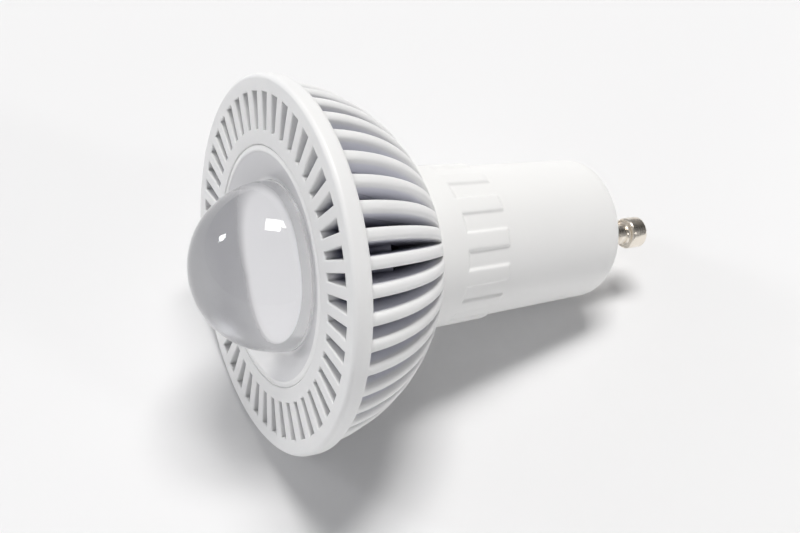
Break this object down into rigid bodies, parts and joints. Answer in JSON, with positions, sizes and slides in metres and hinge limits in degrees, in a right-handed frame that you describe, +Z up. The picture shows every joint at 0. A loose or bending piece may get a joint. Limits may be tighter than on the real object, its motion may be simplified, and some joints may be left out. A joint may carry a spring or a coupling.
{
  "type": "led spotlight bulb",
  "caption": "Finned white reflector lamp with a clear dome lens in a slotted face, and a plastic base with two twist-lock pins.",
  "frame": {"origin": "bottom centre of the whole lamp's box, on the surface that it lies on", "axes": "+X runs along the lamp as it lies, from the lens to the pins; +Z is up"},
  "size_m": [0.0736, 0.054, 0.052],
  "materials": {
    "housing": "satin white paint over cast aluminium",
    "dish": "satin white",
    "lens": "polished, clear",
    "gasket": "matt",
    "seat": "satin",
    "diffuser": "matt white",
    "base": "semi-gloss white",
    "pin": "nickel plated",
    "emitter_board": "white solder mask",
    "thermal_pad": "matt grey",
    "screw": "zinc plated",
    "emitter_package": "white ceramic",
    "emitter_chip": "yellow phosphor",
    "emitter_dome": "clear silicone",
    "lid": "matt white",
    "circuit_board": "green solder mask",
    "ferrite": "sintered ferrite, matt dark grey",
    "bobbin": "matt black",
    "copper": "enamelled copper wire",
    "can": "dark sleeve",
    "choke": "ferrite under a clear sleeve",
    "ceramic": "blue dipped ceramic",
    "resistor": "grey-green lacquer",
    "chip": "matt black",
    "lead_red": "red insulation",
    "lead_black": "black insulation",
    "lead_white": "white insulation"
  },
  "bodies": {
    "root": {"heat_sink": "housing", "dish_ring": "dish", "dome_lens": "lens", "lens_gasket": "gasket", "lens_seat": "seat", "diffuser_disc": "diffuser", "led_board": "emitter_board", "thermal_pad": "thermal_pad", "board_screws": "screw", "led_package": "emitter_package", "led_chip": "emitter_chip", "led_dome": "emitter_dome", "base_shell": "base", "contact_pin_1": "pin", "contact_pin_2": "pin", "insulating_lid": "lid", "driver_board": "circuit_board", "transformer_core": "ferrite", "transformer_bobbin": "bobbin", "transformer_winding": "copper", "output_capacitor": "can", "input_capacitor": "can", "input_choke": "choke", "safety_capacitor": "ceramic", "fuse_resistor": "resistor", "controller_chip": "chip", "bridge_rectifier": "chip", "output_diode": "chip", "led_lead_plus": "lead_red", "led_lead_minus": "lead_black", "mains_lead_1": "lead_white", "mains_lead_2": "lead_white"}
  },
  "joints": []
}
